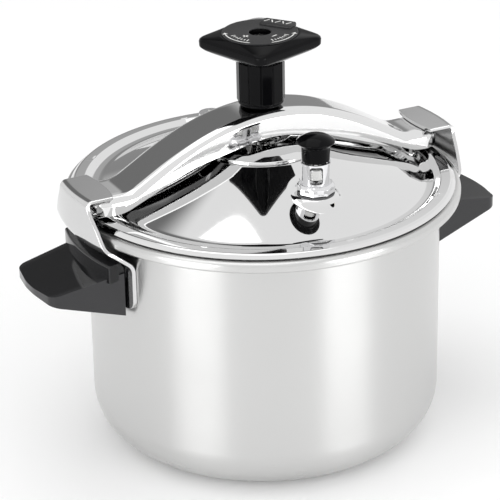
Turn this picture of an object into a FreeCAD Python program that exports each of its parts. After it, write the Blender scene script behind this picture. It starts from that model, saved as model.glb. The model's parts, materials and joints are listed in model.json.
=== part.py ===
import FreeCAD, Part
import math
import os

# Pressure cooker with a sliding domed lid, held down by a stirrup and a screw knob.
# Millimetres. Origin: centre of the base on the table. +X along the stirrup, +Z up, -Y is the valve side.

# Pot
POT_RADIUS = 120.0
WALL = 1.2
BASE_PLATE = 5.5
BASE_CAP_SKIN = 0.8
CORE_RADIUS = 87.9
BASE_ROUNDING = 33.4
LAND_HEIGHT = 178.3
RIM_RADIUS = 134.0
RIM_LOW = 171.5

# Lugs and handles
LUG_THICKNESS = 2.5
LUG_FOOT_RADIUS = POT_RADIUS + LUG_THICKNESS + 0.1
LUG_FACE_RADIUS = 140.2
LUG_TOP = 200.1
LUG_LOW = 125.0
LIP_HALF_WIDTH = 21.5
LIP_END = 118.5
STOP_LENGTH = 9.0
HANDLE_REACH = 172.5
HANDLE_ROOT = 34.8
HANDLE_TIP = 29.6
SHELF_RADIUS = 135.6
SHELF_TOP = 158.6
SHELF_TURN = 15.5
SCREW_SINK = 129.2
STUD_HEIGHT = 137.0
STUD_RADIUS = 6.0
SCREW_X = 136.0
SCREW_RADIUS = 2.5

# Lid
LID_THICKNESS = 1.5
LID_CROWN = 205.6
SHOULDER = (46.1, 203.4)
CHANNEL = (109.4, 180.1)
FLANK_SLOPE = (SHOULDER[1] - CHANNEL[1]) / (CHANNEL[0] - SHOULDER[0])
LID_RIM_RADIUS = 130.2
GASKET_GAP = 0.05
DISC_RADIUS = 39.5
SEAT_HEIGHT = 195.3
SEAT_RADIUS = 14.2
VALVE_BASE_CORNER = 12.4
VALVE_BASE_TOP = 203.0
VALVE_X = 3.2
VALVE_Y = -70.0
WINDOW_TURN = 64.0
DIMPLE_INNER = (-0.5, -54.3)
DIMPLE_OUTER = (7.2, -85.4)
SAFETY_SPRING_TOP = 204.0

# Stirrup
TONGUE_TOP = LUG_TOP - LUG_THICKNESS - 0.3
STIRRUP_HALF_LENGTH = 131.5
STIRRUP_HALF_WIDTH = 18.5
STIRRUP_SHEET = 2.2
BUSH_NECK = 9.0

# Screw knob
SPINDLE_RADIUS = 6.0
RUNNING_FIT = 0.05
KNOB_TURN = 18.5
STEM_LOW = 235.2
STEM_TOP = 266.0
STEM_RADIUS = 16.4
STEM_FACETS = 12
HEAD_SIDE = 59.5
HEAD_TOP = 284.3
HEAD_CORNER = 4.0
DIAL_RADIUS = 25.3
TAB_TURN = 37.0
SQUARE_END = 8.0

Z_AXIS = FreeCAD.Vector(0, 0, 1)
ORIGIN = FreeCAD.Vector(0, 0, 0)


def vec(x, y, z):
    return FreeCAD.Vector(x, y, z)


def offset_path(points, distance):
    """Shift an open path of (x, z[, radius]) corners to its right by distance."""
    corners = [(p[0], p[1], p[2] if len(p) > 2 else 0.0) for p in points]
    sides = []
    for a, b in zip(corners, corners[1:]):
        length = math.hypot(b[0] - a[0], b[1] - a[1])
        sides.append(((b[0] - a[0]) / length, (b[1] - a[1]) / length))
    moved = []
    for i, (x, z, radius) in enumerate(corners):
        before = sides[max(i - 1, 0)]
        after = sides[min(i, len(sides) - 1)]
        turn = before[0] * after[1] - before[1] * after[0]
        cosine = before[0] * after[0] + before[1] * after[1]
        slide = turn / (1.0 + cosine)
        moved_x = x + distance * (before[1] + before[0] * slide)
        moved_z = z + distance * (-before[0] + before[1] * slide)
        growth = distance if turn > 0 else -distance
        new_radius = max(radius + growth, 0.0) if radius else 0.0
        moved.append((moved_x, moved_z, new_radius))
    return moved


def path_edges(points, place):
    """Straight lines joined by tangent arcs. place turns (x, z) into a 3-D point."""
    corners = [(p[0], p[1], p[2] if len(p) > 2 else 0.0) for p in points]
    edges = []
    last = corners[0][:2]
    for before, corner, after in zip(corners, corners[1:], corners[2:]):
        into = (before[0] - corner[0], before[1] - corner[1])
        out = (after[0] - corner[0], after[1] - corner[1])
        into_length = math.hypot(*into)
        out_length = math.hypot(*out)
        into = (into[0] / into_length, into[1] / into_length)
        out = (out[0] / out_length, out[1] / out_length)
        half = math.acos(max(-1.0, min(1.0, into[0] * out[0] + into[1] * out[1]))) / 2
        if corner[2] == 0.0 or half > math.pi / 2 - 1e-6:
            edges += line_edge(last, corner[:2], place)
            last = corner[:2]
            continue
        leg = corner[2] / math.tan(half)
        start = (corner[0] + into[0] * leg, corner[1] + into[1] * leg)
        end = (corner[0] + out[0] * leg, corner[1] + out[1] * leg)
        middle = ((into[0] + out[0]), (into[1] + out[1]))
        size = math.hypot(*middle)
        reach = corner[2] / math.sin(half) - corner[2]
        peak = (corner[0] + middle[0] / size * reach, corner[1] + middle[1] / size * reach)
        edges += line_edge(last, start, place)
        edges.append(Part.Arc(place(*start), place(*peak), place(*end)).toShape())
        last = end
    edges += line_edge(last, corners[-1][:2], place)
    return edges


def line_edge(a, b, place):
    if math.hypot(b[0] - a[0], b[1] - a[1]) < 1e-4:
        return []
    return [Part.makeLine(place(*a), place(*b))]


def upright(x, z):
    return vec(x, 0, z)


def flat(x, y):
    return vec(x, y, 0)


def closed_face(points, place=upright):
    """A face inside a closed outline. The outline starts and ends at a sharp corner."""
    return Part.Face(Part.Wire(path_edges(points + [points[0]], place)))


def strip_face(points, thickness):
    """Sheet metal section: the path is one skin, the other lies to its right."""
    near = path_edges(points, upright)
    other = list(reversed(offset_path(points, thickness)))
    far = path_edges(other, upright)
    end = line_edge(points[-1][:2], other[0][:2], upright)
    start = line_edge(other[-1][:2], points[0][:2], upright)
    return Part.Face(Part.Wire(near + end + far + start))


def turned(face, degrees=360.0, start=0.0):
    solid = face.revolve(ORIGIN, Z_AXIS, degrees)
    solid.rotate(ORIGIN, Z_AXIS, start)
    return solid


def ring(outer, inner, low, high):
    body = Part.makeCylinder(outer, high - low, vec(0, 0, low))
    if inner == 0.0:
        return body
    return body.cut(Part.makeCylinder(inner, high - low, vec(0, 0, low)))


def rounded_square(side, corner, z):
    """Wire with four straight sides and four corner arcs, starting on the +X side."""
    half = side / 2
    outline = [(half, 0), (half, half, corner), (-half, half, corner), (-half, -half, corner),
               (half, -half, corner)]
    wire = Part.Wire(path_edges(outline + [(half, 0)], flat))
    wire.translate(vec(0, 0, z))
    return wire


def polygon_prism(radius, sides, low, high):
    corners = [vec(radius * math.cos(2 * math.pi * (i + 0.5) / sides),
                   radius * math.sin(2 * math.pi * (i + 0.5) / sides), low) for i in range(sides)]
    return Part.Face(Part.makePolygon(corners + corners[:1])).extrude(vec(0, 0, high - low))


def face_rim(solid, way):
    """Edges where the upward (way 1) or downward (way -1) faces meet the steep ones."""
    counted = {}
    for face in solid.Faces:
        u_low, u_high, v_low, v_high = face.ParameterRange
        if way * face.normalAt((u_low + u_high) / 2, (v_low + v_high) / 2).z > 0.3:
            for edge in face.Edges:
                counted.setdefault(edge.hashCode(), []).append(edge)
    return [edges[0] for edges in counted.values() if len(edges) == 1]


def opposite(shape):
    """The same piece on the other side of the pot."""
    return shape.mirror(ORIGIN, vec(1, 0, 0))


def at_valve(shape):
    return shape.translated(vec(VALVE_X, VALVE_Y, 0))


def at_safety(shape):
    return shape.translated(vec(-VALVE_X, -VALVE_Y, 0))


# Pot and base ---------------------------------------------------------------------------

def pot_body():
    inside = POT_RADIUS - WALL
    floor = BASE_PLATE + WALL
    wall_path = [(0, floor), (104.6, floor, 2.0), (inside, 16.0, 31.0), (inside, LAND_HEIGHT, 3.5),
                 (RIM_RADIUS, LAND_HEIGHT, 3.0), (RIM_RADIUS, RIM_LOW, 1.8), (RIM_RADIUS - 3.2, RIM_LOW)]
    return turned(strip_face(wall_path, WALL))


def base_cap():
    pocket = CORE_RADIUS + 0.1
    section = closed_face([(0, 0), (96.6, 0, BASE_ROUNDING), (104.9, BASE_PLATE), (pocket, BASE_PLATE),
                           (pocket, BASE_CAP_SKIN), (0, BASE_CAP_SKIN)])
    return turned(section)


def base_core():
    return ring(CORE_RADIUS, 0.0, BASE_CAP_SKIN, BASE_PLATE)


# Lugs -----------------------------------------------------------------------------------

def lug_path():
    return [(LUG_FOOT_RADIUS, LUG_LOW), (LUG_FOOT_RADIUS, 155.2, 8.0), (LUG_FACE_RADIUS, 170.3, 8.0),
            (LUG_FACE_RADIUS, LUG_TOP, 4.5), (108.0, LUG_TOP)]


def lug_right():
    lug = turned(strip_face(lug_path(), -LUG_THICKNESS), 60.0, -30.0)
    half_outline = [(0, LUG_LOW), (40, LUG_LOW, 6), (40, 160, 60), (41, 167, 14), (31, 183, 30),
                    (LIP_HALF_WIDTH, 194.5, 12), (LIP_HALF_WIDTH, 215), (0, 215)]
    front = closed_face(half_outline, lambda y, z: vec(100, y, z)).extrude(vec(60, 0, 0))
    lug = lug.common(front.fuse(front.mirror(ORIGIN, vec(0, 1, 0))).removeSplitter())
    lip_end = Part.makeCylinder(90, 60, vec(LIP_END + 88, 0, 160))
    lug = lug.common(lip_end.fuse(Part.makeBox(60, 120, 90, vec(120.0, -60, 110))))
    return lug.fuse(lug_stop()).removeSplitter()


def lug_stop():
    """Tab bent down at the far side of the lip, where the stirrup stops."""
    top = LUG_TOP - 0.6
    low = LUG_TOP - LUG_THICKNESS - STOP_LENGTH
    outline = [(119.5, top), (131.5, top), (131.5, low, 2.5), (122.5, low, 3.0)]
    y = LIP_HALF_WIDTH - LUG_THICKNESS
    return closed_face(outline, lambda x, z: vec(x, y, z)).extrude(vec(0, LUG_THICKNESS, 0))


def lug_stud_right():
    stud = Part.makeCylinder(STUD_RADIUS, 19.5, vec(LUG_FOOT_RADIUS - 0.2, 0, STUD_HEIGHT), vec(1, 0, 0))
    stud = stud.cut(Part.makeCylinder(LUG_FOOT_RADIUS + 0.02, 40, vec(0, 0, STUD_HEIGHT - 20)))
    return stud.cut(Part.makeCylinder(SCREW_RADIUS + RUNNING_FIT, 30, vec(SCREW_X, 0, STUD_HEIGHT - 15)))


# Handles --------------------------------------------------------------------------------

def handle_right():
    side = closed_face([(117, 119.7), (HANDLE_REACH, 136.6), (HANDLE_REACH, 141.1), (117, 151.4)])
    block = side.extrude(vec(0, 100, 0)).translated(vec(0, -50, 0))
    plan = closed_face([(100, 0), (100, HANDLE_ROOT), (117, HANDLE_ROOT), (HANDLE_REACH - 4, HANDLE_TIP, 8),
                        (HANDLE_REACH, 0)], flat)
    plan = plan.extrude(vec(0, 0, 60)).translated(vec(0, 0, 110))
    block = block.common(plan.fuse(plan.mirror(ORIGIN, vec(0, 1, 0))).removeSplitter())
    block = block.cut(Part.makeCylinder(LUG_FOOT_RADIUS + 0.2, 60, vec(0, 0, 110)))
    block = block.makeFillet(2.8, outer_edges(block, 1))
    block = block.makeFillet(0.8, outer_edges(block, -1))
    handle = block.fuse(handle_shelf()).removeSplitter()
    hole = Part.makeCylinder(STUD_RADIUS + 0.1, 30, vec(115, 0, STUD_HEIGHT), vec(1, 0, 0))
    handle = handle.cut(hole)
    handle = handle.cut(Part.makeCylinder(SCREW_RADIUS + 0.25, 20, vec(SCREW_X, 0, STUD_HEIGHT - 20)))
    return handle.cut(Part.makeCylinder(5.2, SCREW_SINK - 115, vec(SCREW_X, 0, 115)))


def outer_edges(block, way):
    """Edges around the handle's top (way 1) or underside (way -1), without the arc next to the lug."""
    return [e for e in face_rim(block, way) if e.BoundBox.XMax > LUG_FOOT_RADIUS + 3]


def handle_shelf():
    """Raised rib that cradles the lug where it kicks out over the rim."""
    section = closed_face([(LUG_FOOT_RADIUS + 0.2, 140), (SHELF_RADIUS, 140), (SHELF_RADIUS, SHELF_TOP, 1.5),
                           (124.0, SHELF_TOP)])
    shelf = turned(section, 2 * SHELF_TURN, -SHELF_TURN)
    shadow = offset_path(lug_path()[:3], 0.2)
    over_lug = shadow + [(100, 190), (100, LUG_LOW)]
    return shelf.cut(turned(closed_face(over_lug), 60.0, -30.0))


def handle_screw_right():
    head_low = SCREW_SINK - 2.6
    shank = Part.makeCylinder(SCREW_RADIUS, 14.0, vec(SCREW_X, 0, head_low + 1.2))
    head = Part.makeCylinder(4.6, 2.6, vec(SCREW_X, 0, head_low))
    lower_rim = [e for e in head.Edges if e.Length > 20 and abs(e.BoundBox.Center.z - head_low) < 0.01]
    head = head.makeFillet(0.8, lower_rim)
    slot = Part.makeBox(6.0, 1.0, 1.2, vec(SCREW_X - 3.0, -0.5, head_low))
    cross = Part.makeBox(1.0, 6.0, 1.2, vec(SCREW_X - 0.5, -3.0, head_low))
    return shank.fuse(head).removeSplitter().cut(slot).cut(cross)


# Lid ------------------------------------------------------------------------------------

def lid_path():
    return [(0, LID_CROWN), (40.9, LID_CROWN, 4), SHOULDER + (150,), CHANNEL + (12,), (116.2, CHANNEL[1], 4.0),
            (120.2, 182.6, 2.2), (LID_RIM_RADIUS - 2.7, 182.6, 2.5), (LID_RIM_RADIUS, 179.9)]


def under(path):
    """Everything below a path, down to a flat floor inside the pot mouth."""
    return turned(closed_face([(0, 160)] + path + [(path[-1][0], 160)]))


def lid_shell():
    lid = turned(strip_face(lid_path(), LID_THICKNESS))
    for place in (at_valve, at_safety):
        lid = pressed_seat(lid, place)
    for i in range(8):
        lid = lid.cut(rim_dent(45.0 * i))
    for spot in (DIMPLE_INNER, DIMPLE_OUTER):
        x, y = spot
        lid = lid.cut(Part.makeCone(1.0, 2.3, 12, vec(x, y, lid_height(x, y) - 1.0)))
    return lid


def pressed_seat(lid, place):
    """A flat round seat pressed into the cone of the lid, joined to it by a short wall."""
    outer = SEAT_RADIUS
    inner = SEAT_RADIUS - LID_THICKNESS
    seat_under = SEAT_HEIGHT - LID_THICKNESS
    uphill = place(ring(outer, inner, seat_under, 215)).common(under(lid_path()))
    below = under(offset_path(lid_path(), LID_THICKNESS))
    downhill = place(ring(outer, inner, 170, SEAT_HEIGHT)).cut(below)
    flat_seat = place(ring(outer, 6.6, seat_under, SEAT_HEIGHT))
    lid = lid.cut(place(Part.makeCylinder(outer, 80, vec(0, 0, 150))))
    return lid.fuse([uphill, downhill, flat_seat])


def rim_dent(angle):
    """Small pinch in the rim bead that keeps the gasket in its channel."""
    dent = Part.makeCylinder(1.1, 5.0, vec(121.4, -2.5, 183.2), vec(0, 1, 0))
    dent.rotate(ORIGIN, Z_AXIS, angle)
    return dent


def lid_height(x, y):
    """Height of the lid's conical flank."""
    return SHOULDER[1] - (math.hypot(x, y) - SHOULDER[0]) * FLANK_SLOPE


def lid_gasket():
    low = LAND_HEIGHT + GASKET_GAP
    section = closed_face([(119.0, low), (128.5, low), (126.9, 180.9), (120.7, 180.9), (120.2, 180.3),
                           (124.5, 180.1), (124.5, 179.3), (119.4, 179.1)])
    return turned(section)


def thrust_disc():
    """Domed pressure disc that hides the spindle's foot and keeps it on the lid."""
    path = [(6.6, 213.0), (15, 213.0, 6), (33, 209.6, 12), (DISC_RADIUS, 207.7, 1.5),
            (DISC_RADIUS, LID_CROWN + 0.2)]
    return turned(strip_face(path, 1.2))


def thrust_pad():
    return ring(12.0, 0.0, LID_CROWN, LID_CROWN + 1.0)


# Steam valve ----------------------------------------------------------------------------

def valve_seal():
    return at_valve(ring(12.3, 6.6, SEAT_HEIGHT, SEAT_HEIGHT + 1.0))


def valve_base():
    low = SEAT_HEIGHT + 1.0
    body = polygon_prism(VALVE_BASE_CORNER, 8, low, VALVE_BASE_TOP)
    top = turned(closed_face([(0, low - 1), (14, low - 1), (14, VALVE_BASE_TOP - 2.4), (11.2, VALVE_BASE_TOP),
                              (0, VALVE_BASE_TOP)]))
    body = body.common(top)
    body = body.fuse(Part.makeCylinder(6.5, 12.5, vec(0, 0, low - 12.5)))
    nozzle = Part.makeCone(4.4, 3.4, 3.0, vec(0, 0, VALVE_BASE_TOP))
    body = body.fuse(nozzle).removeSplitter()
    return at_valve(body.cut(Part.makeCylinder(1.6, 40, vec(0, 0, 175))))


def valve_nut():
    top = SEAT_HEIGHT - LID_THICKNESS
    nut = polygon_prism(10.5, 6, top - 5.0, top)
    return at_valve(nut.cut(Part.makeCylinder(6.55, 10, vec(0, 0, top - 6))))


def valve_sleeve():
    """Tube with four steam windows around the weight."""
    sleeve = ring(9.6, 8.3, VALVE_BASE_TOP, 217.6)
    for i in range(4):
        window = Part.makeBox(6, 8.4, 12.0, vec(6, -4.2, 204.4))
        window = window.makeFillet(2.0, [e for e in window.Edges if e.BoundBox.XLength > 5.9])
        window.rotate(ORIGIN, Z_AXIS, 90.0 * i + WINDOW_TURN)
        sleeve = sleeve.cut(window)
    return at_valve(sleeve)


def valve_rod():
    """Weight that closes the nozzle, with the stem that carries the cap."""
    section = closed_face([(0, 204.0), (1.0, 204.6), (1.2, 206.1), (7.2, 206.1), (7.9, 206.9), (7.9, 213.4),
                           (7.3, 214.0), (3.5, 214.0), (3.5, 228.0), (0, 228.0)])
    rod = turned(section)
    return at_valve(rod)


def valve_cap():
    cap = turned(closed_face([(0, 218.0), (9.1, 218.0, 0.8), (9.4, 228.3, 2.5), (13.2, 231.6, 1.0),
                              (6.5, 236.7, 17.5), (0, 236.7)]))
    return at_valve(cap.cut(Part.makeCylinder(3.5 + RUNNING_FIT, 10.4, vec(0, 0, 218.0))))


# Safety valve ---------------------------------------------------------------------------

def safety_seal():
    return at_safety(ring(9.6, 6.6, SEAT_HEIGHT, SEAT_HEIGHT + 1.0))


def safety_body():
    low = SEAT_HEIGHT + 1.0
    cup = ring(8.6, 6.0, low, 204.0)
    cup = cup.fuse(ring(6.5, 2.6, low - 10.0, low + 1.5))
    cup = cup.fuse(ring(8.6, 2.6, 204.0, 205.2)).removeSplitter()
    return at_safety(cup)


def safety_nut():
    top = SEAT_HEIGHT - LID_THICKNESS
    nut = polygon_prism(10.0, 6, top - 4.0, top)
    return at_safety(nut.cut(Part.makeCylinder(6.55, 10, vec(0, 0, top - 6))))


def safety_plunger():
    section = closed_face([(0, 187.5), (2.2, 187.5), (2.2, 198.1), (5.2, 198.1), (5.2, 199.1), (2.2, 199.1),
                           (2.2, 206.6), (1.6, 207.2), (0, 207.2)])
    return at_safety(turned(section))


def safety_spring():
    pitch = 1.2
    helix = Part.makeLongHelix(pitch, SAFETY_SPRING_TOP - 0.4 - 199.5, 4.1)
    wire = Part.Wire(helix.Edges)
    circle = Part.Wire(Part.makeCircle(0.35, vec(4.1, 0, 0), vec(0, 1, 0)))
    spring = wire.makePipeShell([circle], True, True)
    return at_safety(spring.translated(vec(0, 0, 199.5)))


# Stirrup --------------------------------------------------------------------------------

def arch_path(drop):
    """Top of the stirrup from its right tip to its left tip, lowered by drop."""
    half = [(STIRRUP_HALF_LENGTH, TONGUE_TOP), (104.0, TONGUE_TOP, 20.0), (67.1, 218.6, 230.0)]
    apex = (0, 244.36, 140.0)
    path = half + [apex] + [(-p[0],) + p[1:] for p in reversed(half)]
    return offset_path(path, -drop)


def stirrup_solid(inset):
    """The stirrup as a full block, shrunk by inset on every outer face."""
    tip = STIRRUP_HALF_LENGTH - inset
    top = arch_path(inset)
    top = [(tip, top[0][1])] + top[1:-1] + [(-tip, top[-1][1])]
    if inset:
        skirt = [(-tip, 150), (tip, 150)]
    else:
        right = [(60, 206.5, 100.0), (110.0, 185.0, 30.0), (126.0, 185.0, 8.0), (tip, 190.5)]
        left = [(-p[0],) + p[1:] for p in reversed(right)]
        skirt = left + [(0, 219.1, 90.0)] + right
    half_width = STIRRUP_HALF_WIDTH - inset
    block = closed_face(top + skirt).extrude(vec(0, 2 * half_width, 0)).translated(vec(0, -half_width, 0))
    corner = 14.0 - inset
    plan = [(0, -half_width), (tip, -half_width, corner), (tip, half_width, corner),
            (-tip, half_width, corner), (-tip, -half_width, corner)]
    block = block.common(closed_face(plan, flat).extrude(vec(0, 0, 300)))
    return block.makeFillet(6.5 - inset, face_rim(block, 1))


def stirrup():
    bar = stirrup_solid(0.0).cut(stirrup_solid(STIRRUP_SHEET))
    return bar.cut(Part.makeCylinder(BUSH_NECK + RUNNING_FIT, 40, vec(0, 0, 210)))


def stirrup_bush():
    bush = ring(13.0, 0.0, 227.2, 231.4).fuse(ring(BUSH_NECK, 0.0, 231.4, 234.0))
    bush = bush.fuse(ring(10.5, 0.0, 220.0, 227.2)).removeSplitter()
    return bush.cut(Part.makeCylinder(SPINDLE_RADIUS + RUNNING_FIT, 30, vec(0, 0, 212)))


# Screw knob -----------------------------------------------------------------------------

def spindle():
    rod = turned(closed_face([(0, 207.6), (8.9, 207.6), (9.5, 208.2), (9.5, 211.2), (SPINDLE_RADIUS, 211.2),
                              (SPINDLE_RADIUS, STEM_TOP), (0, STEM_TOP)]))
    square = SQUARE_END
    rod = rod.fuse(Part.makeBox(square, square, 11.0, vec(-square / 2, -square / 2, STEM_TOP)))
    rod = rod.removeSplitter().cut(Part.makeCylinder(2.55, 20, vec(0, 0, STEM_TOP - 6)))
    rod.rotate(ORIGIN, Z_AXIS, KNOB_TURN)
    return rod


def knob_stem():
    """Faceted sleeve with a narrow groove between the facets."""
    stem = polygon_prism(STEM_RADIUS, STEM_FACETS, STEM_LOW + 1.8, STEM_TOP)
    for i in range(STEM_FACETS):
        angle = 2 * math.pi * (i + 0.5) / STEM_FACETS
        groove = vec(STEM_RADIUS * math.cos(angle), STEM_RADIUS * math.sin(angle), STEM_LOW + 5.0)
        stem = stem.cut(Part.makeCylinder(0.9, 40, groove))
    collar = turned(closed_face([(0, STEM_LOW), (14.6, STEM_LOW, 1.2), (15.9, STEM_LOW + 2.4, 1.2),
                                 (15.4, STEM_LOW + 3.4), (0, STEM_LOW + 3.4)]))
    stem = stem.fuse(collar).removeSplitter()
    stem = stem.cut(Part.makeCylinder(SPINDLE_RADIUS + RUNNING_FIT, 60, vec(0, 0, STEM_LOW - 5)))
    stem.rotate(ORIGIN, Z_AXIS, KNOB_TURN)
    return stem


def knob_head():
    plate_low = 275.8
    plate_top = 281.4
    lower_outline = rounded_square(HEAD_SIDE, HEAD_CORNER, plate_low)
    upper_outline = rounded_square(HEAD_SIDE, HEAD_CORNER, plate_top)
    plate = Part.Face(lower_outline).extrude(vec(0, 0, plate_top - plate_low))
    crown = Part.makeLoft([upper_outline, rounded_square(51.6, 24.0, HEAD_TOP)], True, True)
    throat = Part.makeLoft([rounded_square(32.4, 15.0, STEM_TOP), lower_outline], True, True)
    head = plate.fuse([crown, throat]).removeSplitter()
    hole = SQUARE_END + 0.2
    head = head.cut(Part.makeBox(hole, hole, 12.0, vec(-hole / 2, -hole / 2, STEM_TOP - 0.5)))
    head = head.cut(Part.makeCylinder(7.4, 20, vec(0, 0, 277.4)))
    head.rotate(ORIGIN, Z_AXIS, KNOB_TURN)
    return head


def knob_dial():
    dial = ring(DIAL_RADIUS, 7.4, HEAD_TOP, HEAD_TOP + 0.9)
    tab = Part.makeBox(10.6, 23.4, 2.6, vec(12.6, -16.3, HEAD_TOP))
    upper_edges = [e for e in tab.Edges if e.BoundBox.ZMin > HEAD_TOP + 1 or e.BoundBox.ZLength > 2]
    tab = tab.makeFillet(1.0, upper_edges)
    dial = dial.fuse(tab).removeSplitter()
    dial.rotate(ORIGIN, Z_AXIS, TAB_TURN)
    return dial


def knob_washer():
    return ring(6.8, 2.7, 277.4, 278.6)


def knob_screw():
    screw = ring(2.5, 0.0, STEM_TOP - 5, 278.6).fuse(ring(5.0, 0.0, 278.6, 281.8)).removeSplitter()
    return screw.cut(polygon_prism(2.9, 6, 279.6, 285.0))


SINGLE_PARTS = {
    "pot_body": pot_body,
    "base_core": base_core,
    "base_cap": base_cap,
    "lid_shell": lid_shell,
    "lid_gasket": lid_gasket,
    "thrust_disc": thrust_disc,
    "thrust_pad": thrust_pad,
    "valve_seal": valve_seal,
    "valve_base": valve_base,
    "valve_nut": valve_nut,
    "valve_sleeve": valve_sleeve,
    "valve_rod": valve_rod,
    "valve_cap": valve_cap,
    "safety_seal": safety_seal,
    "safety_body": safety_body,
    "safety_nut": safety_nut,
    "safety_plunger": safety_plunger,
    "safety_spring": safety_spring,
    "stirrup": stirrup,
    "stirrup_bush": stirrup_bush,
    "spindle": spindle,
    "knob_stem": knob_stem,
    "knob_head": knob_head,
    "knob_dial": knob_dial,
    "knob_washer": knob_washer,
    "knob_screw": knob_screw,
}
PAIRED_PARTS = {
    "lug": lug_right,
    "lug_stud": lug_stud_right,
    "handle": handle_right,
    "handle_screw": handle_screw_right,
}

os.makedirs("parts", exist_ok=True)
for name, build in SINGLE_PARTS.items():
    build().exportStep("parts/" + name + ".step")
for name, build in PAIRED_PARTS.items():
    right = build()
    right.exportStep("parts/" + name + "_right.step")
    opposite(right).exportStep("parts/" + name + "_left.step")
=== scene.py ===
import json
import math

import bmesh
import bpy
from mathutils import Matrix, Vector


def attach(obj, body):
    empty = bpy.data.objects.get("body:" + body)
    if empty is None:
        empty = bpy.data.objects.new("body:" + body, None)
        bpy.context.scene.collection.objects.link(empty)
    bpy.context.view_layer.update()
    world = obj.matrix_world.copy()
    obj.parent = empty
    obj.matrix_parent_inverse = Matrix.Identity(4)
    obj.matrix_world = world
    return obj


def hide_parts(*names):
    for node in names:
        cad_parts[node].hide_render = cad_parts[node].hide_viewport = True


MM = 0.001
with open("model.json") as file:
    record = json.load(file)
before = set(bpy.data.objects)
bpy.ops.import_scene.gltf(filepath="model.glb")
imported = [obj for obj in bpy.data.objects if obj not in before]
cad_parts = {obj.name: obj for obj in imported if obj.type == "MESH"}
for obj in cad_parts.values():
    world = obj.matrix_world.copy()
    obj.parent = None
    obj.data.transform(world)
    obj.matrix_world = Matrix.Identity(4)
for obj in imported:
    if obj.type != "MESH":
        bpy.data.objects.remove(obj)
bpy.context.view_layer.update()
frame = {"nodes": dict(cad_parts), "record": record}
nodes = frame["nodes"]


# Plane curves -----------------------------------------------------------------------------

def corners_of(path):
    return [(p[0], p[1], p[2] if len(p) > 2 else 0.0) for p in path]


def rounded(path, step=math.radians(7)):
    """Points along a path of (x, z[, radius]) corners, with the corners rounded."""
    corners = corners_of(path)
    points = [corners[0][:2]]
    for before, corner, after in zip(corners, corners[1:], corners[2:]):
        x, z, radius = corner
        if not radius:
            points.append((x, z))
            continue
        into = Vector((before[0] - x, before[1] - z)).normalized()
        out = Vector((after[0] - x, after[1] - z)).normalized()
        half = into.angle(out) / 2
        centre = Vector((x, z)) + (into + out).normalized() * (radius / math.sin(half))
        start = Vector((x, z)) + into * (radius / math.tan(half)) - centre
        sweep = math.pi - 2 * half
        if into.x * out.y - into.y * out.x > 0:
            sweep = -sweep
        count = max(2, math.ceil(abs(sweep) / step))
        for i in range(count + 1):
            turn = sweep * i / count
            points.append((centre.x + start.x * math.cos(turn) - start.y * math.sin(turn),
                           centre.y + start.x * math.sin(turn) + start.y * math.cos(turn)))
    points.append(corners[-1][:2])
    return [p for i, p in enumerate(points) if i == 0 or math.dist(p, points[i - 1]) > 1e-4]


def offset(path, distance):
    """The path moved to its right by distance."""
    corners = corners_of(path)
    sides = [Vector((b[0] - a[0], b[1] - a[1])).normalized() for a, b in zip(corners, corners[1:])]
    moved = []
    for i, (x, z, radius) in enumerate(corners):
        before = sides[max(i - 1, 0)]
        after = sides[min(i, len(sides) - 1)]
        turn = before.x * after.y - before.y * after.x
        slide = turn / (1.0 + before.dot(after))
        growth = distance if turn > 0 else -distance
        new_radius = max(radius + growth, 0.0) if radius else 0.0
        moved.append((x + distance * (before.y + before.x * slide),
                      z + distance * (before.y * slide - before.x), new_radius))
    return moved


def sheet_outline(path, thickness):
    """Closed outline of bent sheet: the path is one skin, the other lies to its right."""
    return rounded(path) + list(reversed(rounded(offset(path, thickness))))


def height_on(points, x):
    """Height of a polyline at x, for points sorted by x."""
    for a, b in zip(points, points[1:]):
        if a[0] <= x <= b[0]:
            return a[1] + (b[1] - a[1]) * (x - a[0]) / max(b[0] - a[0], 1e-9)
    return points[0][1] if x < points[0][0] else points[-1][1]


# Meshes -----------------------------------------------------------------------------------

def make(name, verts, faces, body, slot, stands_for=(), sharp=35.0):
    """A finished piece from millimetre points."""
    mesh = bpy.data.meshes.new(name)
    mesh.from_pydata([(x * MM, y * MM, z * MM) for x, y, z in verts], [], faces)
    bm = bmesh.new()
    bm.from_mesh(mesh)
    bmesh.ops.remove_doubles(bm, verts=bm.verts, dist=1e-7)
    bmesh.ops.dissolve_degenerate(bm, edges=bm.edges, dist=1e-8)
    bmesh.ops.recalc_face_normals(bm, faces=bm.faces)
    bm.to_mesh(mesh)
    bm.free()
    mesh.shade_smooth()
    mesh.set_sharp_from_angle(angle=math.radians(sharp))
    piece = bpy.data.objects.new(name, mesh)
    bpy.context.scene.collection.objects.link(piece)
    mesh.materials.append(MATERIALS[slot])
    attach(piece, body)
    if stands_for:
        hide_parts(*stands_for)
    return piece


def lathe(outline, centre=(0.0, 0.0), segments=160):
    """Verts and faces of a closed outline of (radius, z) turned about a vertical axis."""
    verts = []
    for r, z in outline:
        for i in range(segments):
            turn = 2 * math.pi * i / segments
            verts.append((centre[0] + r * math.cos(turn), centre[1] + r * math.sin(turn), z))
    faces = []
    count = len(outline)
    for k in range(count):
        if outline[k][0] < 1e-6 and outline[(k + 1) % count][0] < 1e-6:
            continue
        for i in range(segments):
            j = (i + 1) % segments
            a, b = k * segments, ((k + 1) % count) * segments
            faces.append((a + i, a + j, b + j, b + i))
    return verts, faces


def turned(name, outline, body, slot, stands_for=(), centre=(0.0, 0.0), segments=160, sharp=35.0):
    verts, faces = lathe(outline, centre, segments)
    piece = make(name, verts, faces, body, slot, stands_for, sharp)
    weigh(piece)
    return piece


def weigh(piece):
    """Flat areas decide the shading, so that reflections in them stay straight."""
    modifier = piece.modifiers.new("weighted", "WEIGHTED_NORMAL")
    modifier.keep_sharp = True
    modifier.weight = 80


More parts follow.
